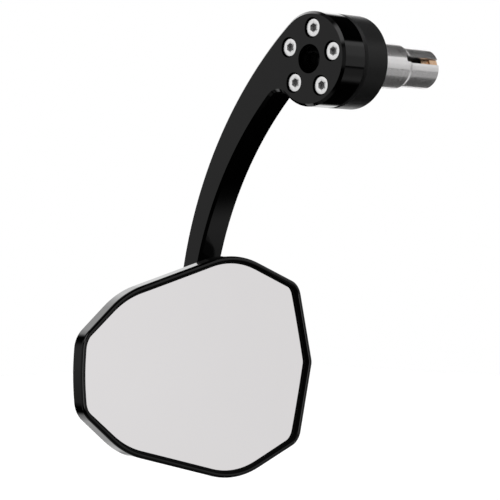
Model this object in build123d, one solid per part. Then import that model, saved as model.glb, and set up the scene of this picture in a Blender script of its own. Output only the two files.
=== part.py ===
from build123d import *
from math import asin, atan2, cos, degrees, hypot, radians, sin, sqrt, tan
import os

# Left-hand bar end mirror. Millimetres, +Z up, +Y forward, +X inboard along the
# handlebar. The origin is on the bar's axis, where the collar meets the bar's end.

# Clearances
running_gap = 0.05          # turning and sliding fits, thread flanks
screw_clearance = 0.2       # round a screw's shank
head_clearance = 0.4        # round a sunk screw head
clamp_gap = 0.4             # left open under the clamp ring, so that it pinches the ball

# Socket head screws
screw_head_chamfer = 0.3
screw_point_chamfer = 0.4
socket_depth_share = 0.5    # of the head's height

# Eye and collar
eye_diameter = 36.0         # the arm's eye and the collar
arm_thickness = 12.5
collar_length = 12.0
edge_chamfer = 1.0
mouth_chamfer = 1.0         # collar's bore, where the bar's end seats

# Arm screws, five M4 socket heads
arm_screw_count = 5
arm_screw_diameter = 4.0
arm_screw_length = 16.0
arm_screw_head = 7.0
arm_screw_head_height = 4.0
arm_screw_key = 3.0
arm_screw_sunk = 0.7        # heads below the eye's face
arm_screw_angle = 7.3       # first screw, from the top towards the rear
tapped_spare = 1.0          # tapped holes past the screw's end

# Expander sleeve
flange_diameter = 29.4      # let into the collar, held by the arm screws
flange_thickness = 2.5
hub_relief = 0.25           # sleeve inside the collar, below the spigot's surface
spigot_diameter = 17.6
spigot_length = 24.0
step_length = 2.5           # cone down to the slotted end
finger_diameter = 15.6
mouth_wall = 1.0            # slotted end's wall, outside the cone
sleeve_length = 42.8
sleeve_bore = 10.6
sleeve_web = 6.4            # what the bolt pulls on
sleeve_end_chamfer = 0.4
slot_count = 3
slot_width = 2.5
slot_start = 22.5
slot_angle = 18.0           # first slot, from the rear towards the top

# Expander bolt M6 with its washers, and the cone it draws in
bolt_diameter = 6.0
bolt_length = 50.0
bolt_head = 10.0
bolt_head_height = 6.0
bolt_key = 5.0
bolt_sunk = 0.2             # head below the collar's face
washer_lip = 0.4            # washer past the bolt's head
washer_gap = 0.15           # hole past the washer
washer_thickness = 1.6
lock_washer_diameter = 9.9
lock_washer_thickness = 1.6
lock_washer_cut = 1.2
cone_length = 8.5
cone_half_angle = 7.0
cone_inset = 0.2            # wide end inside the sleeve's mouth
cone_gap = 0.08
key_length = 4.5            # keys that slide in the sleeve's slots
key_gap = 0.3
key_inset = 0.8             # keys below the slotted end's surface

# Arm, a plate between two arcs whose centres lie behind and below the bar
outer_arc_behind = 87.4
outer_arc_below = 113.4
inner_arc_behind = 74.5
inner_arc_below = 115.5
arm_tip_width = 8.2         # at the ball's height
arm_tip_reach = 7.0         # plate below the ball stud
arm_tip_round = 3.5
eye_fillet = 6.5            # where the inner arc leaves the eye
seat_depth = 0.2            # flat seat of the ball stud
screw_seat_depth = 0.4

# Ball joint
ball_height = -117.3        # ball's centre, above the bar's axis
ball_diameter = 13.0
ball_flat = 0.5             # cut off the ball's front
stud_reach = 17.0           # ball's centre to the arm
neck_diameter = 6.0
stud_flange_diameter = 11.0
stud_flange_thickness = 2.6
stud_flats = 9.0            # across the spanner flats
stud_shank = 8.0
stud_shank_short = 0.5      # shank's end below the screw's seat
stud_screw_diameter = 5.0
stud_screw_length = 8.0
stud_screw_head = 9.5
stud_screw_head_height = 2.8
stud_screw_key = 3.0
stud_washer_diameter = 10.0
stud_washer_thickness = 1.0
seat_wall = 1.4             # nylon halves round the ball
seat_gap = 0.2              # between the halves
seat_opening = 52.0         # half angle of the ring's opening, from the stud's axis
clamp_opening = 51.0
clamp_diameter = 32.0
clamp_thickness = 5.4
clamp_chamfer = 0.8
clamp_screw_count = 4
clamp_screw_diameter = 3.0
clamp_screw_length = 8.0
clamp_screw_head = 5.5
clamp_screw_head_height = 3.0
clamp_screw_key = 2.5
clamp_edge = 0.75           # ring outside the screw heads

# Glass outline, upper half, from the ball's centre: inboard, up, corner radius
glass_corners = [
    (29.9, 0.0, 3.0),
    (22.8, 29.5, 5.0),
    (-10.5, 42.1, 39.0),
    (-66.6, 27.4, 36.0),
    (-85.4, 12.5, 7.0),
    (-86.5, 0.0, 80.0),
]
glass_radius = 1200.0       # convex, so that it shows a wide field
glass_thickness = 2.0
glass_sunk = 0.5            # glass's crown behind the rim
pad_thickness = 0.8
pad_margin = 1.5            # pad inside the glass's edge
seal_width = 0.6

# Head housing
rim_width = 2.0
rim_depth = 14.4            # rim's front to the ball's centre
rim_outer_round = 1.0
rim_inner_round = 0.7
wall_depth = 5.0            # straight side wall
back_bevel = 3.0
boss_base_diameter = 42.0
boss_fillet = 2.0

# Places that follow from the sizes above
eye_radius = eye_diameter / 2
eye_back = -collar_length
eye_face = eye_back - arm_thickness
screw_seat = eye_face + arm_screw_sunk + arm_screw_head_height
bolt_pocket_floor = (eye_back + bolt_sunk + bolt_head_height
                     + lock_washer_thickness + washer_thickness)
bolt_head_seat = bolt_pocket_floor - washer_thickness - lock_washer_thickness
washer_diameter = bolt_head + 2 * washer_lip
key_hole_diameter = washer_diameter + 2 * washer_gap
arm_screw_circle = (spigot_diameter + flange_diameter) / 2    # midway across the flange
cone_diameter = finger_diameter - 2 * mouth_wall
cone_end = sleeve_length - cone_inset
cone_slope = tan(radians(cone_half_angle))
arm_middle = eye_back - arm_thickness / 2
outer_arc_centre = (-outer_arc_behind, -outer_arc_below)    # forward, up
inner_arc_centre = (-inner_arc_behind, -inner_arc_below)
outer_arc_radius = hypot(*outer_arc_centre) + eye_radius
arm_outer_side = outer_arc_centre[0] + sqrt(
    outer_arc_radius ** 2 - (ball_height - outer_arc_centre[1]) ** 2)
arm_inner_side = arm_outer_side - arm_tip_width
inner_arc_radius = hypot(arm_inner_side - inner_arc_centre[0], ball_height - inner_arc_centre[1])
stud_seat = arm_inner_side + seat_depth
stud_screw_seat = arm_outer_side - screw_seat_depth
ball_radius = ball_diameter / 2
ball_centre = (arm_middle, stud_seat - stud_reach, ball_height)
seat_inside = ball_radius + running_gap
seat_outside = seat_inside + seat_wall
socket_radius = seat_outside + running_gap
clamp_screw_circle = clamp_diameter - clamp_screw_head - 2 * clamp_edge
boss_top_diameter = clamp_diameter
rim_front = ball_centre[1] - rim_depth
housing_back = rim_front + wall_depth + back_bevel
boss_top = ball_centre[1] - clamp_gap / 2
crown_across = (glass_corners[0][0] + glass_corners[-1][0]) / 2


# Turned pieces
def turned_x(points):
    # A profile of (along the bar, radius) points, turned about the bar's axis.
    return revolve(make_face(Polyline(*points, close=True)), axis=Axis.X)


def turned_y(points):
    # A profile of (radius, along the stud) points, turned about the stud's axis.
    return revolve(make_face(Polyline(*points, close=True)), axis=Axis.Y)


def rod_x(radius, start, end):
    # A plain cylinder along the bar's axis.
    return Pos((start + end) / 2, 0, 0) * Rot(0, 90, 0) * Cylinder(radius, end - start)


def rod_y(radius, start, end):
    # A plain cylinder along the stud's axis.
    return Pos(0, (start + end) / 2, 0) * Rot(90, 0, 0) * Cylinder(radius, end - start)


def hexagon_x(across_flats, start, depth):
    # A hexagonal prism along X, for a key socket, with corners at its top and bottom.
    outline = RegularPolygon(across_flats / sqrt(3), 6, rotation=30)
    return extrude(Plane.YZ.offset(start) * outline, amount=depth)


def socket_screw(head, head_height, shank, length, key):
    # Cylinder head screw pointing along +X, with the underside of its head at X = 0.
    edge = screw_head_chamfer
    point = screw_point_chamfer
    screw = turned_x([
        (-head_height, 0), (-head_height, head / 2 - edge), (-head_height + edge, head / 2),
        (0, head / 2), (0, shank / 2), (length - point, shank / 2),
        (length, shank / 2 - point), (length, 0),
    ])
    return screw - hexagon_x(key, -head_height, head_height * socket_depth_share)


def washer_x(diameter, bore, thickness):
    # Flat ring with its faces at X = 0 and X = thickness.
    return rod_x(diameter / 2, 0, thickness) - rod_x(bore / 2, 0, thickness)


def on_arm_screw_circle(piece):
    # Copies of a piece, one at each arm screw, all of them the same way up.
    step = 360 / arm_screw_count
    turns = [radians(arm_screw_angle + step * number) for number in range(arm_screw_count)]
    radius = arm_screw_circle / 2
    return [Pos(0, -radius * sin(turn), radius * cos(turn)) * piece for turn in turns]


def at_slots(piece):
    # Copies of a piece that lies towards the rear, one at each slot of the sleeve.
    step = 360 / slot_count
    turns = [slot_angle + step * number for number in range(slot_count)]
    return [Rot(-turn, 0, 0) * piece for turn in turns]


# Bar plug
def make_collar():
    bore = spigot_diameter / 2 + running_gap
    recess = flange_diameter / 2 + running_gap
    recess_floor = eye_back + flange_thickness
    ring = turned_x([
        (eye_back, recess), (eye_back, eye_radius - edge_chamfer),
        (eye_back + edge_chamfer, eye_radius), (0, eye_radius),
        (0, bore + mouth_chamfer), (-mouth_chamfer, bore),
        (recess_floor, bore), (recess_floor, recess),
    ])
    tapped_end = screw_seat + arm_screw_length + tapped_spare
    tapped = rod_x(arm_screw_diameter / 2 + running_gap, eye_back, tapped_end)
    return ring - on_arm_screw_circle(tapped)


def make_sleeve():
    pocket = key_hole_diameter / 2
    hub = spigot_diameter / 2 - hub_relief
    finger = finger_diameter / 2
    mouth = cone_diameter / 2 + cone_gap + cone_slope * cone_inset
    bore = sleeve_bore / 2
    taper_start = sleeve_length - (mouth - bore) / cone_slope
    bolt_way = bolt_diameter / 2 + screw_clearance
    web_end = bolt_pocket_floor + sleeve_web
    body = turned_x([
        (eye_back, pocket), (eye_back, flange_diameter / 2),
        (eye_back + flange_thickness, flange_diameter / 2),
        (eye_back + flange_thickness, hub), (0, hub), (0, spigot_diameter / 2),
        (spigot_length, spigot_diameter / 2), (spigot_length + step_length, finger),
        (sleeve_length - sleeve_end_chamfer, finger), (sleeve_length, finger - sleeve_end_chamfer),
        (sleeve_length, mouth), (taper_start, bore), (web_end, bore),
        (web_end, bolt_way), (bolt_pocket_floor, bolt_way), (bolt_pocket_floor, pocket),
    ])
    slot_length = sleeve_length - slot_start
    slot = Pos(slot_start + slot_length / 2, -spigot_diameter / 4, 0) * Box(
        slot_length, spigot_diameter / 2, slot_width)
    screw_hole = rod_x(arm_screw_diameter / 2 + running_gap,
                       eye_back, eye_back + flange_thickness)
    return body - at_slots(slot) - on_arm_screw_circle(screw_hole)


def make_arm_screws():
    screw = socket_screw(arm_screw_head, arm_screw_head_height, arm_screw_diameter,
                         arm_screw_length, arm_screw_key)
    return on_arm_screw_circle(Pos(screw_seat, 0, 0) * screw)


def make_bolt():
    screw = socket_screw(bolt_head, bolt_head_height, bolt_diameter, bolt_length, bolt_key)
    return Pos(bolt_head_seat, 0, 0) * screw


def make_washer():
    bore = bolt_diameter + 2 * screw_clearance
    return Pos(bolt_pocket_floor - washer_thickness, 0, 0) * washer_x(
        washer_diameter, bore, washer_thickness)


def make_lock_washer():
    # A split ring: one cut through its upper side.
    bore = bolt_diameter + 2 * screw_clearance
    ring = washer_x(lock_washer_diameter, bore, lock_washer_thickness)
    cut = Pos(lock_washer_thickness / 2, 0, lock_washer_diameter / 4) * Box(
        lock_washer_thickness, lock_washer_cut, lock_washer_diameter / 2)
    return Pos(bolt_head_seat, 0, 0) * (ring - cut)


def make_cone():
    wide = cone_diameter / 2
    narrow = wide - cone_slope * cone_length
    start = cone_end - cone_length
    body = turned_x([(start, 0), (start, narrow), (cone_end, wide), (cone_end, 0)])
    key_height = finger_diameter / 2 - key_inset
    key = Pos(cone_end - key_length / 2, -key_height / 2, 0) * Box(
        key_length, key_height, slot_width - 2 * key_gap)
    return body + at_slots(key) - rod_x(bolt_diameter / 2 + running_gap, start, cone_end)


# Arm
def arm_outline():
    # Sickle between the two arcs, from inside the eye to the tip, with the eye's disc.
    leave_outer = degrees(atan2(-outer_arc_centre[1], -outer_arc_centre[0]))
    leave_inner = degrees(asin((-inner_arc_centre[1] - eye_radius / 4) / inner_arc_radius))
    tip = ball_height - arm_tip_reach
    end_outer = degrees(asin((tip - outer_arc_centre[1]) / outer_arc_radius))
    end_inner = degrees(asin((tip - inner_arc_centre[1]) / inner_arc_radius))
    outer = CenterArc(outer_arc_centre, outer_arc_radius, leave_outer, end_outer - leave_outer)
    inner = CenterArc(inner_arc_centre, inner_arc_radius, end_inner, leave_inner - end_inner)
    sickle = make_face([outer, Line(outer @ 1, inner @ 0), inner, Line(inner @ 1, outer @ 0)])
    outline = sickle + Circle(eye_radius)
    corners = outline.vertices()
    tip_corners = [corner for corner in corners if abs(corner.Y - tip) < edge_chamfer]
    neck = corners.filter_by(lambda corner: corner.Y < 0 and corner.X > 0)
    neck_corner = neck.sort_by_distance((eye_radius, 0))[0]
    outline = fillet(tip_corners, arm_tip_round)
    neck_corner = outline.vertices().sort_by_distance(neck_corner.center())[0]
    return fillet(neck_corner, eye_fillet)


def make_arm():
    plate = extrude(Plane.YZ.offset(eye_face) * arm_outline(), amount=arm_thickness)
    ends = plate.faces().filter_by(Axis.X)
    plate = chamfer(ends.edges(), edge_chamfer)
    head_hole = rod_x((arm_screw_head + head_clearance * 2) / 2, eye_face, screw_seat)
    shank_hole = rod_x(arm_screw_diameter / 2 + screw_clearance, eye_face, eye_back)
    plate -= rod_x(key_hole_diameter / 2, eye_face, eye_back)
    plate -= on_arm_screw_circle(head_hole + shank_hole)
    stud_axis = Pos(arm_middle, 0, ball_height)
    plate -= stud_axis * rod_y(stud_shank / 2 + running_gap, stud_seat - arm_tip_width, stud_screw_seat)
    plate -= stud_axis * rod_y(stud_flange_diameter / 2 + head_clearance,
                               stud_seat - arm_tip_width, stud_seat)
    plate -= stud_axis * rod_y(stud_washer_diameter / 2 + head_clearance,
                               stud_screw_seat, stud_screw_seat + arm_tip_width)
    return plate


# Ball joint, each piece made about the ball's centre and then put in its place
def at_ball(piece):
    return Pos(*ball_centre) * piece


def make_ball_stud():
    flange_start = stud_reach - running_gap - stud_flange_thickness
    flange_end = stud_reach - running_gap
    shank_end = stud_screw_seat - ball_centre[1] - stud_shank_short
    shank = turned_y([
        (0, 0), (neck_diameter / 2, 0), (neck_diameter / 2, flange_start),
        (stud_flange_diameter / 2, flange_start), (stud_flange_diameter / 2, flange_end),
        (stud_shank / 2, flange_end), (stud_shank / 2, shank_end), (0, shank_end),
    ])
    ball = Sphere(ball_radius)
    ball -= rod_y(ball_radius, -ball_radius, ball_flat - ball_radius)
    flat_depth = (stud_flange_diameter - stud_flats) / 2
    flat = Pos(0, flange_start + stud_flange_thickness / 2, (stud_flats + flat_depth) / 2) * Box(
        stud_flange_diameter, stud_flange_thickness, flat_depth)
    tapped = rod_y(stud_screw_diameter / 2 + running_gap,
                   shank_end - stud_screw_length, shank_end)
    return at_ball(ball + shank - flat - mirror(flat, Plane.XY) - tapped)


def make_stud_washer():
    start = stud_screw_seat - ball_centre[1] + running_gap
    end = start + stud_washer_thickness
    bore = stud_screw_diameter / 2 + screw_clearance
    return at_ball(rod_y(stud_washer_diameter / 2, start, end) - rod_y(bore, start, end))


def make_stud_screw():
    # Button head: a low dome with a key socket.
    seat = stud_screw_seat - ball_centre[1] + running_gap + stud_washer_thickness
    crown = (stud_screw_head_height, 0)
    brim = (0, stud_screw_head / 2)
    dome = TangentArc(crown, brim, tangent=(0, 1))
    head = revolve(make_face([dome, Polyline(brim, (0, 0), crown)]), axis=Axis.X)
    head -= hexagon_x(stud_screw_key, stud_screw_head_height / 3, stud_screw_head_height)
    screw = head + rod_x(stud_screw_diameter / 2, -stud_screw_length, 0)
    return at_ball(Pos(0, seat, 0) * Rot(0, 0, 90) * screw)


def seat_shell():
    return Sphere(seat_outside) - Sphere(seat_inside)


def make_seat_cup():
    # The half on the glass's side of the ball.
    front = rod_y(seat_outside, -seat_outside, -seat_gap / 2)
    return at_ball(seat_shell() & front)


def opening_cone(half_angle, length):
    # A cone from the ball's centre, opening towards the arm.
    return turned_y([(0, 0), (length * tan(radians(half_angle)), length), (0, length)])


def make_seat_ring():
    # The half on the arm's side, open for the stud's neck.
    rear = rod_y(seat_outside, seat_gap / 2, seat_outside)
    return at_ball((seat_shell() & rear) - opening_cone(seat_opening, seat_outside))


def clamp_screw_places():
    # Turns round the stud's axis, half a step from the vertical.
    step = 360 / clamp_screw_count
    return [step / 2 + step * number for number in range(clamp_screw_count)]


def on_clamp_screw_circle(piece):
    return [Rot(0, turn, 0) * Pos(clamp_screw_circle / 2, 0, 0) * piece
            for turn in clamp_screw_places()]


def make_clamp_ring():
    start = clamp_gap / 2
    end = start + clamp_thickness
    radius = clamp_diameter / 2
    ring = turned_y([
        (0, start), (radius, start), (radius, end - clamp_chamfer),
        (radius - clamp_chamfer, end), (0, end),
    ])
    head_seat = end - clamp_screw_head_height
    holes = rod_y(clamp_screw_diameter / 2 + screw_clearance, start, end)
    holes += rod_y(clamp_screw_head / 2 + screw_clearance, head_seat, end)
    ring = ring - Sphere(socket_radius) - opening_cone(clamp_opening, end)
    return at_ball(ring - on_clamp_screw_circle(holes))


def make_clamp_screws():
    seat = clamp_gap / 2 + clamp_thickness - clamp_screw_head_height
    screw = socket_screw(clamp_screw_head, clamp_screw_head_height, clamp_screw_diameter,
                         clamp_screw_length, clamp_screw_key)
    return [at_ball(copy) for copy in on_clamp_screw_circle(Pos(0, seat, 0) * Rot(0, 0, -90) * screw)]


# Mirror head
def glass_outline(margin=0.0):
    # Nine straight sides and round corners, even about the level line through the ball.
    lower = [(across, -up, radius) for across, up, radius in reversed(glass_corners[1:-1])]
    corners = glass_corners + lower
    points = [(across, up) for across, up, _ in corners]
    edge = FilletPolyline(*points, radius=[radius for _, _, radius in corners], close=True)
    face = make_face(edge)
    return offset(face, margin) if margin else face


def slab(outline, front, back):
    # An outline on the head, made solid from one depth to another.
    plane = Plane((ball_centre[0], front, ball_centre[2]), x_dir=(1, 0, 0), z_dir=(0, -1, 0))
    return extrude(plane * outline, amount=front - back)


def glass_sphere(depth):
    # The glass's convex surface, or one parallel to it at a depth behind it.
    centre = rim_front + glass_sunk + glass_radius
    return Pos(ball_centre[0] + crown_across, centre, ball_centre[2]) * Sphere(glass_radius - depth)


def convex_layer(outline, depth, thickness):
    # A sheet of even thickness that follows the glass's curve.
    block = slab(outline, rim_front, boss_top)
    return (block & glass_sphere(depth)) - glass_sphere(depth + thickness)


def make_glass():
    return convex_layer(glass_outline(), 0, glass_thickness)


def make_pad():
    return convex_layer(glass_outline(-pad_margin), glass_thickness, pad_thickness)


def make_seal():
    ring = glass_outline(seal_width) - glass_outline()
    return convex_layer(ring, 0, glass_thickness + pad_thickness)


def make_housing():
    rim_outline = glass_outline(seal_width + rim_width)
    body = slab(rim_outline, rim_front, housing_back)
    body = chamfer(body.faces().sort_by(Axis.Y)[-1].edges(), back_bevel)
    tray = slab(glass_outline(seal_width), rim_front, boss_top)
    body -= tray - glass_sphere(glass_thickness + pad_thickness)
    rim = body.faces().filter_by(Axis.Y).sort_by(Axis.Y)[0]
    inner_edges = rim.inner_wires()[0].edges()
    body = fillet(inner_edges, rim_inner_round)
    rim = body.faces().filter_by(Axis.Y).sort_by(Axis.Y)[0]
    body = fillet(rim.outer_wire().edges(), rim_outer_round)
    back = housing_back - ball_centre[1]
    top = boss_top - ball_centre[1]
    boss = turned_y([
        (0, back - back_bevel / 2), (boss_base_diameter / 2, back - back_bevel / 2),
        (boss_base_diameter / 2, back), (boss_top_diameter / 2, top), (0, top),
    ])
    body += at_ball(boss)
    foot = [edge for edge in body.edges().filter_by(GeomType.CIRCLE)
            if abs(edge.center().Y - housing_back) < running_gap
            and abs(edge.radius - boss_base_diameter / 2) < running_gap]
    body = fillet(foot, boss_fillet)
    body -= at_ball(Sphere(socket_radius))
    screw_end = clamp_gap / 2 + clamp_thickness - clamp_screw_head_height - clamp_screw_length
    tapped = rod_y(clamp_screw_diameter / 2 + running_gap, screw_end - running_gap, top)
    return body - [at_ball(copy) for copy in on_clamp_screw_circle(tapped)]


pieces = {
    "arm": make_arm,
    "collar": make_collar,
    "arm_screws": make_arm_screws,
    "expander_sleeve": make_sleeve,
    "expander_bolt": make_bolt,
    "bolt_washer": make_washer,
    "lock_washer": make_lock_washer,
    "expander_cone": make_cone,
    "ball_stud": make_ball_stud,
    "stud_washer": make_stud_washer,
    "stud_screw": make_stud_screw,
    "ball_seat_cup": make_seat_cup,
    "ball_seat_ring": make_seat_ring,
    "clamp_ring": make_clamp_ring,
    "clamp_screws": make_clamp_screws,
    "head_housing": make_housing,
    "glass_pad": make_pad,
    "glass_seal": make_seal,
    "mirror_glass": make_glass,
}

os.makedirs("parts", exist_ok=True)
for name, make in pieces.items():
    piece = make()
    if isinstance(piece, list):
        piece = Compound(children=[solid for copy in piece for solid in copy.solids()])
    export_step(piece, f"parts/{name}.step")
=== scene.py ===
import math
import bpy
import numpy as np
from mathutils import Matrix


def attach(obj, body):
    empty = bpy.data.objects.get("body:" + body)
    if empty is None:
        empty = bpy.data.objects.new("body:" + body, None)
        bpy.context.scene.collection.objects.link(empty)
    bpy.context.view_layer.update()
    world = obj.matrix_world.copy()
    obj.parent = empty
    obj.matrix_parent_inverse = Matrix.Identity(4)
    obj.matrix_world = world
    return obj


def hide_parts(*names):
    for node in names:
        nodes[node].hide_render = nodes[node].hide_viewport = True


# Bar end mirror: screws, glass and finishes over the solids. Metres, X inboard, Y forward, Z up.
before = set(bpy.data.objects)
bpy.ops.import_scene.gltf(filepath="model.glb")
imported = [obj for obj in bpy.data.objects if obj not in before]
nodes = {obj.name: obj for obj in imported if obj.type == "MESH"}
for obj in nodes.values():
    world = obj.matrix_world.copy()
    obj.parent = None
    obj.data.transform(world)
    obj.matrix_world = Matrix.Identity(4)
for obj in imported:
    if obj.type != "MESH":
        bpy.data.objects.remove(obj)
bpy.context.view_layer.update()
print("frame loaded:", len(nodes), "nodes")

noiseLow, noiseHigh = 0.3, 0.7      # most of a noise's values lie between these
grainHeight = 0.0001                # height that a bump of strength 1 stands for
sharpFrom = math.radians(32)        # edges that bend more than this stay crisp


# a socket of a node tree; arithmetic on it adds Math nodes, add() adds any other node
class Wire:
    def __init__(self, tree, socket=None):
        self.tree = tree
        self.socket = socket

    # a new node: settings first, then each input linked or set; gives the output named
    def add(self, kind, settings=None, inputs=None, output=0):
        node = self.tree.nodes.new(kind)
        for name, value in (settings or {}).items():
            setattr(node, name, value)
        for name, value in (inputs or {}).items():
            if isinstance(value, Wire):
                self.tree.links.new(value.socket, node.inputs[name])
            else:
                node.inputs[name].default_value = value
        return Wire(self.tree, node.outputs[output])

    # one Math node on two values
    def maths(self, operation, first, second=0.0):
        return self.add("ShaderNodeMath", {"operation": operation}, {0: first, 1: second})

    def __add__(self, other):
        return self.maths("ADD", self, other)

    def __sub__(self, other):
        return self.maths("SUBTRACT", self, other)

    def __rsub__(self, other):
        return self.maths("SUBTRACT", other, self)

    def __mul__(self, other):
        return self.maths("MULTIPLY", self, other)

    __radd__ = __add__
    __rmul__ = __mul__

    # the value without its sign
    def size(self):
        return self.maths("ABSOLUTE", self)

    # smooth step from 0 at low to 1 at high
    def rise(self, low, high):
        return self.add("ShaderNodeMapRange", {"interpolation_type": "SMOOTHSTEP"},
                        {"Value": self, "From Min": low, "From Max": high})

    # straight line that runs from first at low to last at high, and stays there beyond
    def span(self, low, high, first, last):
        return self.add("ShaderNodeMapRange", {"clamp": True},
                        {"Value": self, "From Min": low, "From Max": high, "To Min": first, "To Max": last})

    # one Vector Math node, with a second vector where the operation takes one
    def vector(self, operation, second=None, output=0):
        inputs = {0: self} if second is None else {0: self, 1: second}
        return self.add("ShaderNodeVectorMath", {"operation": operation}, inputs, output)


# a new material: its tree's Wire, its Principled shader, and the object coordinates
def newFinish(name, **fixed):
    material = bpy.data.materials.new(name)
    material.use_nodes = True
    tree = material.node_tree
    shader = tree.nodes["Principled BSDF"]
    for socket, value in fixed.items():
        shader.inputs[socket.replace("_", " ")].default_value = value
    wire = Wire(tree)
    place = wire.add("ShaderNodeTexCoord", output="Object")
    return material, wire, shader, place


# links a wire to one of the shader's sockets
def feed(shader, socket, wire):
    wire.tree.links.new(wire.socket, shader.inputs[socket])


# layered noise at a place, with scale cells to the metre
def noise(place, scale, detail=3.0, roughness=0.55):
    return place.add("ShaderNodeTexNoise", {},
                     {"Vector": place, "Scale": scale, "Detail": detail, "Roughness": roughness})


# x, y and z of a vector
def axes(place):
    split = place.add("ShaderNodeSeparateXYZ", {}, {0: place})
    return [Wire(place.tree, output) for output in split.socket.node.outputs]


# first * (1 - factor) + second * factor, where each is a colour or a wire
def blendColour(factor, first, second):
    first, second = (end if isinstance(end, Wire) else (*end, 1) for end in (first, second))
    return factor.add("ShaderNodeMix", {"data_type": "RGBA"}, {0: factor, 6: first, 7: second}, output=2)


# normal tilted by the slope of height * strength
def bump(height, strength):
    return height.add("ShaderNodeBump", {},
                      {"Height": height, "Strength": strength, "Distance": grainHeight})


# colour and roughness both follow a noise, between the look's two ends
def feedGrain(shader, look, colourNoise, roughNoise):
    feed(shader, "Base Color", blendColour(colourNoise, look["dark"], look["light"]))
    feed(shader, "Roughness", roughNoise.span(noiseLow, noiseHigh, look["smooth"], look["rough"]))


# black skin: blasted grain in roughness and bump, cloudy depth of colour
def blackSkin(name, look):
    material, _, shader, place = newFinish(name, IOR=look["ior"])
    grain = noise(place, look["grain"])
    cloud = noise(place, look["cloud"])
    feedGrain(shader, look, cloud, grain)
    feed(shader, "Normal", bump(grain, look["depth"]))
    return material


armLook = {"ior": 1.32, "grain": 6000.0, "cloud": 60.0, "dark": (0.0001, 0.0001, 0.0001),
           "light": (0.0003, 0.0003, 0.0003), "smooth": 0.03, "rough": 0.08, "depth": 0.03}
collarLook = {"ior": 1.18, "grain": 4500.0, "cloud": 70.0, "dark": (0.0090, 0.0090, 0.0091),
              "light": (0.0112, 0.0112, 0.0113), "smooth": 0.26, "rough": 0.38, "depth": 0.12}
headLook = {"ior": 1.32, "grain": 900.0, "cloud": 40.0, "dark": (0.0001, 0.0001, 0.0001),
            "light": (0.0003, 0.0003, 0.0003), "smooth": 0.03, "rough": 0.08, "depth": 0.02}
armFinish = blackSkin("blackAnodisedArm", armLook)
collarFinish = blackSkin("blackAnodisedSatin", collarLook)
headFinish = blackSkin("glossBlackHead", headLook)


# matt black where the head's normals point at the glass's middle: the recess behind the rim.
# inward = -(normal . direction away from the middle), less on the inboard side
def mattRecess(material, look):
    tree = material.node_tree
    wire = Wire(tree)
    gloss = tree.nodes["Principled BSDF"]
    output = tree.nodes["Material Output"]
    matt = tree.nodes.new("ShaderNodeBsdfPrincipled")
    matt.inputs["IOR"].default_value = look["ior"]
    place = wire.add("ShaderNodeTexCoord", output="Object")
    grain = noise(place, look["grain"])
    feedGrain(matt, look, grain, grain)
    away = place.vector("SUBTRACT", look["middle"]).vector("MULTIPLY", look["across"]).vector("NORMALIZE")
    normal = wire.add("ShaderNodeTexCoord", output="Normal")     # turns with the head
    facing = normal.vector("DOT_PRODUCT", away, "Value")
    inboard = axes(away)[0].rise(*look["inboard"]) * look["inboardGloss"]
    inward = 0 - facing - inboard
    mix = wire.add("ShaderNodeMixShader", {}, {0: inward.rise(*look["inward"])}).socket.node
    tree.links.new(gloss.outputs[0], mix.inputs[1])
    tree.links.new(matt.outputs[0], mix.inputs[2])
    tree.links.new(mix.outputs[0], output.inputs["Surface"])


recessLook = {"ior": 1.08, "grain": 2500.0, "dark": (0.0008, 0.0008, 0.0008),
              "light": (0.0018, 0.0018, 0.0018), "smooth": 0.60, "rough": 0.80,
              "middle": (-0.0466, 0.0343, -0.1173), "across": (1, 0, 1),     # in the glass's own plane
              "inward": (0.08, 0.35),                # the matt share grows from 0 to 1 between these
              "inboard": (0.45, 0.8), "inboardGloss": 0.5}     # the inboard side stays glossy further in
mattRecess(headFinish, recessLook)


# turned metal: rings along the distance given, some cut clean and some torn, so the gloss is mixed;
# colour follows half rings, half cloud. paintedShade, if given, is the share of painted shade at a place: a
# dark colour that stands in for the shadow inside the sleeve
def turnedMetal(name, look, distanceFrom, paintedShade=None):
    material, wire, shader, place = newFinish(name, Metallic=look.get("metallic", 1.0))
    distance = wire.add("ShaderNodeCombineXYZ", {}, {0: distanceFrom(place)})
    rings = noise(distance, look["rings"], detail=4.0)
    cloud = noise(place, look["cloud"])
    colour = blendColour(cloud * 0.5 + rings * 0.5, look["dark"], look["light"])
    # painted shade: a dark colour blended in where the part lies in shadow inside the sleeve
    if paintedShade:
        colour = blendColour(paintedShade(place), colour, look["shadeColour"])
    clean, torn = 0.5 - look["mix"], 0.5 + look["mix"]
    feed(shader, "Base Color", colour)
    feed(shader, "Roughness", rings.span(clean, torn, look["smooth"], look["rough"]))
    feed(shader, "Normal", bump(rings, look["depth"]))
    return material


# distance along the bar: x
def alongBar(place):
    return axes(place)[0]


# distance from a screw's own axis, kept on its points
def fromOwnAxis(place):
    return place.add("ShaderNodeAttribute", {"attribute_name": "fromAxis"}, {}, "Fac")


# where the painted shade ends: radius of the bore, and place along the bar of the cone's inner end
shadeEdges = {"bore": (0.0066, 0.0074), "innerEnd": (0.0342, 0.0346)}     # radius, and place along the bar


# 1 in the sleeve's bore, 0 on its outside, by the radius sqrt(y^2 + z^2): where painted shade darkens the
# bore
def inBore(place):
    _, y, z = axes(place)
    radius = place.maths("SQRT", y * y + z * z)
    return 1 - radius.rise(*shadeEdges["bore"])


# 1 on the cone's inner end, 0 on its side and keys: where painted shade darkens the end inside the sleeve
def atInnerEnd(place):
    return 1 - alongBar(place).rise(*shadeEdges["innerEnd"])


# shadeColour is painted shade: the dark colour for the sleeve's bore and the cone's inner end, where shadow
# falls inside the sleeve
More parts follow.
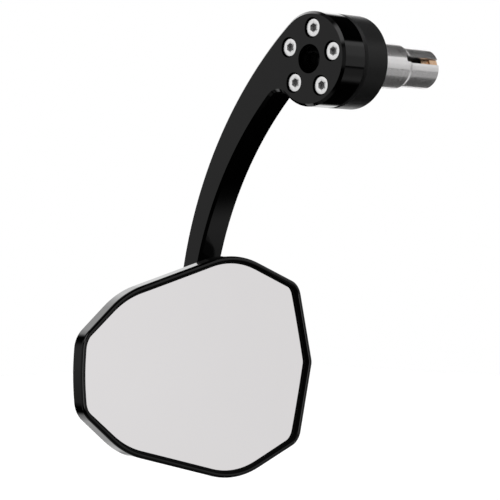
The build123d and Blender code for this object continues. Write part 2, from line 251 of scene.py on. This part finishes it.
sleeveLook = {"rings": 16000.0, "cloud": 80.0, "dark": (0.71, 0.70, 0.70), "light": (0.80, 0.79, 0.79),
              "mix": 0.03, "smooth": 0.06, "rough": 0.64, "depth": 0.04, "shadeColour": (0.05, 0.05, 0.05)}
studLook = {"rings": 3000.0, "cloud": 80.0, "dark": (0.56, 0.55, 0.55), "light": (0.68, 0.67, 0.67),
            "mix": 0.20, "smooth": 0.16, "rough": 0.30, "depth": 0.08}
brassLook = {"rings": 2600.0, "cloud": 90.0, "dark": (0.56, 0.36, 0.22), "light": (0.72, 0.49, 0.32),
             "mix": 0.20, "smooth": 0.18, "rough": 0.36, "depth": 0.10, "shadeColour": (0.02, 0.018, 0.016)}
screwLook = {"rings": 2500.0, "cloud": 120.0, "dark": (0.84, 0.84, 0.84), "light": (0.93, 0.93, 0.93),
             "mix": 0.20, "smooth": 0.16, "rough": 0.28, "depth": 0.04}
# socket floor and walls: duller pressed steel, with painted shade in its colour, far darker than the screw's
# head
shadedSocketLook = {"rings": 1500.0, "cloud": 900.0, "dark": (0.26, 0.26, 0.26), "light": (0.38, 0.38, 0.38),
              "mix": 0.20, "smooth": 0.50, "rough": 0.65, "depth": 0.10, "metallic": 0.4}
# inBore and atInnerEnd place painted shade in the sleeve's bore and on the cone's inner end
sleeveFinish = turnedMetal("brightSteelSleeve", sleeveLook, alongBar, inBore)
studFinish = turnedMetal("brightSteelStud", studLook, alongBar)
brassFinish = turnedMetal("turnedBrass", brassLook, alongBar, atInnerEnd)
washerFinish = turnedMetal("stainlessWasher", screwLook, alongBar)
screwFinish = turnedMetal("stainlessScrew", screwLook, fromOwnAxis)
shadedSocketFinish = turnedMetal("pressedSocketPaintedShade", shadedSocketLook, fromOwnAxis)


# silvered glass: nearly all light comes back, with faint cloudy haze
def silvered(name, look):
    material, _, shader, place = newFinish(name, Metallic=1.0)
    cloud = noise(place, look["cloud"])
    feedGrain(shader, look, cloud, cloud)
    return material


# soft or ground surfaces: grain in colour, roughness and bump
def grained(name, look):
    material, _, shader, place = newFinish(name, IOR=look.get("ior", 1.45))
    grain = noise(place, look["grain"])
    feedGrain(shader, look, grain, grain)
    feed(shader, "Normal", bump(grain, look["depth"]))
    return material


glassLook = {"cloud": 25.0, "dark": (0.940, 0.918, 0.924), "light": (0.960, 0.940, 0.944),
             "smooth": 0.010, "rough": 0.018}
groundLook = {"grain": 3000.0, "dark": (0.010, 0.013, 0.012), "light": (0.022, 0.026, 0.025),
              "smooth": 0.35, "rough": 0.50, "depth": 0.10}
nylonLook = {"grain": 900.0, "dark": (0.70, 0.69, 0.64), "light": (0.80, 0.79, 0.74),
             "smooth": 0.42, "rough": 0.55, "depth": 0.10}
rubberLook = {"grain": 2500.0, "dark": (0.002, 0.002, 0.002), "light": (0.006, 0.006, 0.006),
              "smooth": 0.60, "rough": 0.75, "depth": 0.15, "ior": 1.12}
foamLook = {"grain": 1500.0, "dark": (0.03, 0.03, 0.03), "light": (0.06, 0.06, 0.06),
            "smooth": 0.80, "rough": 0.95, "depth": 0.30}
glassFinish = silvered("silveredGlass", glassLook)
groundFinish = grained("groundGlassEdge", groundLook)
nylonFinish = grained("nylon", nylonLook)
rubberFinish = grained("sealRubber", rubberLook)
foamFinish = grained("padFoam", foamLook)

finishes = {
    "arm": armFinish, "collar": collarFinish, "clamp_ring": collarFinish, "head_housing": headFinish,
    "arm_screws": washerFinish, "clamp_screws": washerFinish, "stud_screw": washerFinish,
    "stud_washer": washerFinish, "bolt_washer": washerFinish, "lock_washer": washerFinish,
    "expander_bolt": washerFinish, "expander_sleeve": sleeveFinish, "ball_stud": studFinish,
    "expander_cone": brassFinish, "ball_seat_cup": nylonFinish, "ball_seat_ring": nylonFinish,
    "glass_pad": foamFinish, "glass_seal": rubberFinish, "mirror_glass": glassFinish,
}
for name, finish in finishes.items():
    nodes[name].data.materials.clear()
    nodes[name].data.materials.append(finish)
print("finishes set:", len(finishes))


# rings of points, (copies, rows, around, 3), joined into closed skins; each skin's ends run to a point
def putRings(name, rings, starts, ends, rowFinish, materials):
    copies, rows, around, _ = rings.shape
    each = rows * around + 2
    points = np.concatenate([rings.reshape(copies, -1, 3), starts[:, None], ends[:, None]], axis=1)
    row, turn = np.meshgrid(np.arange(rows - 1), np.arange(around), indexing="ij")
    onward = (turn + 1) % around
    quads = np.stack([row * around + turn, row * around + onward,
                      (row + 1) * around + onward, (row + 1) * around + turn], axis=-1).reshape(-1, 4)
    turn = np.arange(around)
    onward = (turn + 1) % around
    last = (rows - 1) * around
    fans = np.concatenate([np.stack([np.full(around, each - 2), onward, turn], axis=-1),
                           np.stack([np.full(around, each - 1), last + turn, last + onward], axis=-1)])
    # the skin's volume tells which way its faces point
    a, b, c, d = (points[0][quads[:, corner]] for corner in range(4))
    volume = np.sum(a * np.cross(b, c)) + np.sum(a * np.cross(c, d))
    if volume < 0:
        quads, fans = quads[:, ::-1], fans[:, ::-1]
    step = (np.arange(copies) * each)[:, None, None]
    faces = (quads[None] + step).reshape(-1, 4).tolist() + (fans[None] + step).reshape(-1, 3).tolist()
    mesh = bpy.data.meshes.new(name)
    mesh.from_pydata(points.reshape(-1, 3).tolist(), [], faces)
    for material in materials:
        mesh.materials.append(material)
    fanFinish = np.repeat([rowFinish[0], rowFinish[-1]], around)
    slots = np.concatenate([np.tile(np.repeat(rowFinish[:-1], around), copies), np.tile(fanFinish, copies)])
    mesh.polygons.foreach_set("material_index", slots.astype(np.int32))
    mesh.polygons.foreach_set("use_smooth", np.ones(len(faces), bool))
    mesh.set_sharp_from_angle(angle=sharpFrom)
    mesh.update()
    piece = bpy.data.objects.new(name, mesh)
    bpy.context.scene.collection.objects.link(piece)
    return piece


# what all the socket screws share; the shares are of half the key's width
screwForm = {"around": 48, "edge": 0.0003, "point": 0.0004,
             "bendRows": 5,           # over the head's rounded edge
             "turnRows": 8,           # along each turn of the thread
             "floorShare": 0.8,       # radius of the ring on the socket's floor
             "mouthShare": 1.21,      # radius of the lead-in's mouth
             "tipShare": 0.4,         # depth of the drilled tip below the floor
             # these rows take the darker socket finish: painted shade in the recess
             "shadedSocketRows": 2}        # floor and walls of the socket


# socket screw: a profile of (along, radius) carried round the axis. Socket rows are hexagons, their radius
# the half key width over cos(angle within a sixth); thread rows dip by
# depth * (1 - cos(turns * 2 pi - angle)) / 2.
# The copies stand on a circle: middle + circle * (cos(turn) * up + sin(turn) * side)
def makeScrews(name, ownLook, node, body):
    look = {**screwForm, **ownLook}
    angle = np.linspace(0, 2 * np.pi, look["around"], endpoint=False)
    hexagon = 1 / np.cos(angle % (np.pi / 3) - np.pi / 6)
    key, head, shank, edge = look["key"] / 2, look["head"] / 2, look["shank"] / 2, look["edge"]
    depth, point = look["depth"], look["point"]
    under = look["headHeight"]
    end = under + look["length"]
    bend = np.linspace(0, np.pi / 2, look["bendRows"])
    threadFrom = end - look["threadLength"]
    threadAlong = np.arange(threadFrom, end - point, look["pitch"] / look["turnRows"])
    along = np.concatenate([
        [depth, depth, look["leadIn"], 0], edge * (1 - np.cos(bend)),
        [under - edge / 2, under, under, under + edge / 2], threadAlong, [end - point, end]])
    reach = np.concatenate([
        [key * look["floorShare"], key, key, key * look["mouthShare"]], head - edge + edge * np.sin(bend),
        [head, head - edge / 2, shank + edge / 2, shank], np.full(len(threadAlong), shank),
        [shank - look["threadDepth"] / 2, shank - point]])
    isHexagon = np.zeros(len(along))
    isHexagon[1:3] = 1              # foot and top of the socket's walls
    isThread = np.zeros(len(along))
    isThread[-2 - len(threadAlong):-2] = np.clip((threadAlong - threadFrom) / look["pitch"], 0, 1)
    turns = along / look["pitch"]
    dip = look["threadDepth"] * (1 - np.cos(turns[:, None] * 2 * np.pi - angle)) / 2
    radius = reach[:, None] * (1 + isHexagon[:, None] * (hexagon - 1)) - isThread[:, None] * dip
    axis, up, side = (np.array(look[way]) for way in ("axis", "up", "side"))
    shape = (along[:, None, None] * axis + radius[:, :, None] * (
        np.cos(angle)[None, :, None] * up + np.sin(angle)[None, :, None] * side))
    turn = np.radians(look["firstTurn"]) + 2 * np.pi * np.arange(look["count"]) / look["count"]
    places = look["middle"] + look["circle"] * (np.cos(turn)[:, None] * up + np.sin(turn)[:, None] * side)
    starts = places + (depth + key * look["tipShare"]) * axis
    ends = places + end * axis
    # the socket's floor and walls get the darker, duller finish: painted shade in the recess
    rowFinish = np.where(np.arange(len(along)) < look["shadedSocketRows"], 1, 0)
    piece = putRings(name, places[:, None, None] + shape[None], starts, ends, rowFinish,
                     [screwFinish, shadedSocketFinish])
    fromAxis = np.tile(np.concatenate([radius.ravel(), [0, 0]]), len(places)).astype(np.float32)
    piece.data.attributes.new("fromAxis", "FLOAT", "POINT").data.foreach_set("value", fromAxis)
    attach(piece, body)
    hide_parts(node)
    return piece


ball = np.array([-0.01825, 0.048725, -0.1173])      # centre of the ball joint
armScrew = {"key": 0.003, "depth": 0.002, "leadIn": 0.00005, "head": 0.007, "headHeight": 0.004,
            "shank": 0.004, "length": 0.016, "threadLength": 0.013, "pitch": 0.0007, "threadDepth": 0.00038,
            "axis": (1, 0, 0), "up": (0, 0, 1), "side": (0, -1, 0),
            "middle": np.array([-0.0238, 0, 0]), "circle": 0.01175, "firstTurn": 7.3, "count": 5}
boltScrew = {"key": 0.005, "depth": 0.003, "leadIn": 0.00005, "head": 0.010, "headHeight": 0.006,
             "shank": 0.006, "length": 0.050, "threadLength": 0.024, "pitch": 0.001, "threadDepth": 0.00055,
             "axis": (1, 0, 0), "up": (0, 0, 1), "side": (0, -1, 0),
             "middle": np.array([-0.0118, 0, 0]), "circle": 0.0, "firstTurn": 0.0, "count": 1}
clampScrew = {"key": 0.0025, "depth": 0.0015, "leadIn": 0.0001, "head": 0.0055, "headHeight": 0.003,
              "shank": 0.003, "length": 0.008, "threadLength": 0.0065, "pitch": 0.0005,
              "threadDepth": 0.00027, "axis": (0, -1, 0), "up": (0, 0, 1), "side": (1, 0, 0),
              "middle": ball + (0, 0.0056, 0), "circle": 0.0125, "firstTurn": 135.0, "count": 4}
makeScrews("armSocketScrews", armScrew, "arm_screws", "arm_and_plug")
makeScrews("expanderBoltThreaded", boltScrew, "expander_bolt", "bolt")
makeScrews("clampSocketScrews", clampScrew, "clamp_screws", "head")
print("screws made")


# outline with round corners: at each corner an arc of its radius, touching both sides, its centre
# radius / sin(half the corner's angle) along the line that halves the corner
def roundCorners(corners, steps, spacing):
    point = corners[:, :2]
    radius = corners[:, 2]
    back = np.roll(point, 1, axis=0) - point
    forth = np.roll(point, -1, axis=0) - point
    back /= np.linalg.norm(back, axis=1, keepdims=True)
    forth /= np.linalg.norm(forth, axis=1, keepdims=True)
    half = np.arccos(np.sum(back * forth, axis=1)) / 2
    middle = (back + forth) / np.linalg.norm(back + forth, axis=1, keepdims=True)
    centre = point + middle * (radius / np.sin(half))[:, None]
    sweep = np.linspace(-1, 1, steps)[None] * (np.pi / 2 - half)[:, None]
    bendsRight = np.sign(back[:, 0] * forth[:, 1] - back[:, 1] * forth[:, 0])
    turn = np.arctan2(-middle[:, 1], -middle[:, 0])[:, None] - sweep * bendsRight[:, None]
    around = np.stack([np.cos(turn), np.sin(turn)], axis=-1)
    arcs = (centre[:, None] + radius[:, None, None] * around).reshape(-1, 2)
    # more points along the straight sides, at even lengths
    closed = np.concatenate([arcs, arcs[:1]])
    length = np.concatenate([[0], np.cumsum(np.linalg.norm(np.diff(closed, axis=0), axis=1))])
    places = np.union1d(length[:-1], np.arange(0, length[-1] - spacing / 2, spacing))
    return np.stack([np.interp(places, length, closed[:, way]) for way in (0, 1)], axis=1)


# glass: outline scaled from the crown, bulged by R - sqrt(R^2 - distance^2), with a ground edge all round
def makeGlass(look):
    upper = np.array(look["corners"])
    corners = np.concatenate([upper, (upper * (1, -1, 1))[-2:0:-1]])      # lower half mirrors the upper
    outline = roundCorners(corners, look["steps"], look["spacing"])
    crown = np.array([(upper[0, 0] + upper[-1, 0]) / 2, 0])
    rows, edge, thickness, front = look["rows"], look["edge"], look["thickness"], ball[1] + look["front"]
    rim = 1 - look["gap"] / look["meanReach"]
    inward = np.linspace(look["innermost"], rim - edge / look["meanReach"], rows)
    scale = np.concatenate([inward, [rim, rim], inward[::-1]])
    sunk = np.concatenate([np.zeros(rows), [edge, thickness - edge], np.full(rows, thickness)])
    flat = crown + scale[:, None, None] * (outline - crown)
    distance = np.linalg.norm(flat - crown, axis=-1)
    bulge = look["radius"] - np.sqrt(look["radius"] ** 2 - distance ** 2)
    forward = front + sunk[:, None] + bulge
    rings = np.stack([flat[..., 0] + ball[0], forward, flat[..., 1] + ball[2]], axis=-1)
    start = np.array([[crown[0] + ball[0], front, ball[2]]])
    rowFinish = np.zeros(len(scale), int)
    rowFinish[rows - 1:rows + 2] = 1          # bevel, edge and bevel are ground
    piece = putRings("convexGlass", rings[None], start, start + (0, thickness, 0), rowFinish,
                     [glassFinish, groundFinish])
    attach(piece, "head")
    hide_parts("mirror_glass")
    return piece


pane = {"corners": [(0.0299, 0, 0.003), (0.0228, 0.0295, 0.005),      # across and up from the ball, radius
                    (-0.0105, 0.0421, 0.039), (-0.0666, 0.0274, 0.036),
                    (-0.0854, 0.0125, 0.007), (-0.0865, 0, 0.080)],
        "steps": 13, "spacing": 0.002, "rows": 36, "radius": 1.2, "thickness": 0.002,
        "front": -0.0139,             # crown's face, from the ball
        "edge": 0.0002,               # width of the ground bevels
        "gap": 0.00006,               # air between glass and seal
        "meanReach": 0.045,           # from crown to edge, turns the edge and gap into shares
        "innermost": 0.04}            # first row, as a share of the outline
makeGlass(pane)
print("glass made")


# studio: soft boxes round the part, by bearing from inboard towards front, and height, in degrees
studio = {
    "base": 0.004,
    "boxes": [  # bearing, half width, height, half height, soft edge, strength
        (58.0, 57.0, 0.0, 22.0, 5.0, 1.0),       # white backdrop beyond the part
        (45.0, 25.0, -17.0, 5.0, 4.0, 1.0),
        (50.0, 22.0, 22.0, 6.0, 3.0, 1.15),
        (148.0, 20.0, 0.0, 34.0, 4.0, 0.60),     # seen in the eye's face
        (148.0, 20.0, 12.0, 14.0, 10.0, 0.30),
        (-48.0, 40.0, 9.0, 19.5, 1.0, 0.72),     # seen in the glass
        (-48.0, 40.0, 17.5, 11.0, 3.0, 0.24),
        (-48.0, 40.0, 25.5, 3.0, 2.0, 0.32),
        (-66.0, 16.0, 9.0, 19.5, 12.0, 0.045),
        (-45.0, 40.0, -23.0, 9.5, 2.5, 0.36),    # lower on the same side
        (-45.0, 40.0, -30.0, 4.0, 3.5, 0.12),
        (80.0, 26.0, 44.0, 18.0, 8.0, 3.4),      # over and under the far side
        (80.0, 26.0, -44.0, 18.0, 8.0, 2.0),
        (-148.0, 24.0, 46.0, 16.0, 6.0, 3.4),    # round the camera
        (-174.0, 12.0, 0.0, 22.0, 6.0, 1.2),
        (-136.0, 14.0, 4.0, 18.0, 6.0, 0.45),
        (-108.0, 12.0, 0.0, 22.0, 4.0, 4.5),
        (0.0, 200.0, -78.0, 20.0, 6.0, 0.30),    # pale floor and ceiling
        (0.0, 200.0, 86.0, 18.0, 6.0, 0.25),
    ],
}
world = bpy.data.worlds.new("studio")
bpy.context.scene.world = world
world.use_nodes = True
background = world.node_tree.nodes["Background"]
sky = Wire(world.node_tree)
x, y, z = axes(sky.add("ShaderNodeTexCoord", output="Generated"))
bearing = sky.maths("ARCTAN2", y, x) * math.degrees(1)
height = sky.maths("ARCSINE", z) * math.degrees(1)
glow = studio["base"]
for across, halfWidth, up, halfHeight, soft, strength in studio["boxes"]:
    sideways = 1 - (bearing - across).size().rise(halfWidth - soft, halfWidth + soft)
    upright = 1 - (height - up).size().rise(halfHeight - soft, halfHeight + soft)
    glow = sideways * upright * strength + glow
toCamera = sky.add("ShaderNodeLightPath", output="Is Camera Ray")      # plain white behind the part
feed(background, "Strength", toCamera + (1 - toCamera) * glow)
background.inputs["Color"].default_value = (1, 1, 1, 1)

# floor, well below the part, white to the camera where no shadow falls
floorSet = {"height": -0.62, "reach": 6.0, "paper": (0.25, 0.25, 0.25), "roughness": 0.9,
            "glow": (0.8, 0.8, 0.8)}
reach = floorSet["reach"]
floorCorners = np.array([[-reach, -reach], [reach, -reach], [reach, reach], [-reach, reach]])
floorMesh = bpy.data.meshes.new("floor")
floorMesh.from_pydata(np.c_[floorCorners, np.full(4, floorSet["height"])].tolist(), [], [[0, 1, 2, 3]])
floor = bpy.data.objects.new("floor", floorMesh)
bpy.context.scene.collection.objects.link(floor)
paper, wire, shader, _ = newFinish("floorPaper", Roughness=floorSet["roughness"], Emission_Strength=1.0)
shader.inputs["Base Color"].default_value = (*floorSet["paper"], 1)
seen = wire.add("ShaderNodeLightPath", output="Is Camera Ray")
feed(shader, "Emission Color", blendColour(seen, (0, 0, 0), floorSet["glow"]))
floorMesh.materials.append(paper)
floor.visible_glossy = False

# even light for matt surfaces, from above
fillSet = {"size": 2.0, "energy": 60.0, "place": (0, 0, 1.6)}
fill = bpy.data.lights.new("fill", "AREA")
fill.size = fillSet["size"]
fill.energy = fillSet["energy"]
fillObject = bpy.data.objects.new("fill", fill)
fillObject.location = fillSet["place"]
fillObject.visible_glossy = False
fillObject.visible_camera = False
bpy.context.scene.collection.objects.link(fillObject)

# camera at the photograph's place
view = {"place": (-0.57308, -0.51665, -0.06940), "tilt": 89.8, "turn": -45.03, "lens": 144.0, "sensor": 36.0}
cameraData = bpy.data.cameras.new("camera")
cameraData.lens = view["lens"]
cameraData.sensor_width = view["sensor"]
camera = bpy.data.objects.new("camera", cameraData)
camera.location = view["place"]
camera.rotation_euler = (math.radians(view["tilt"]), 0, math.radians(view["turn"]))
bpy.context.scene.collection.objects.link(camera)
bpy.context.scene.camera = camera
bpy.context.scene.view_settings.view_transform = "Standard"
print("studio and camera set")
